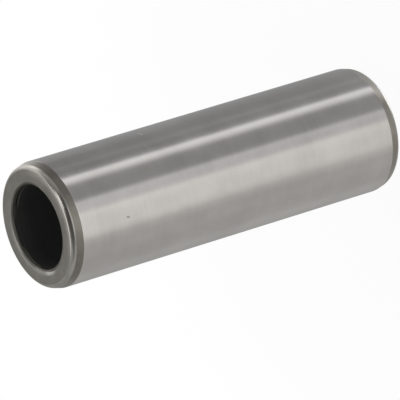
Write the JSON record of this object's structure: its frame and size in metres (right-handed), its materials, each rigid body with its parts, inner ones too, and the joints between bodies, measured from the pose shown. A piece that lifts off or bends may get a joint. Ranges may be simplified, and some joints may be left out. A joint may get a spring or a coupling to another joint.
{
  "type": "gudgeon pin",
  "caption": "Hollow round steel pin, ground outside with coned lead-in ends, that joins an engine's piston to its connecting rod.",
  "frame": {"origin": "on the pin's axis, at the lower end face, on which it stands", "axes": "+Z along the pin's axis, from the lower end face to the upper one"},
  "size_m": [0.012, 0.012, 0.0375],
  "materials": {
    "ground_steel": "ground and polished outside, turned satin on the ends and lead-in cones, dark as drawn in the bore"
  },
  "bodies": {
    "root": {"gudgeon_pin": "ground_steel"}
  },
  "joints": []
}
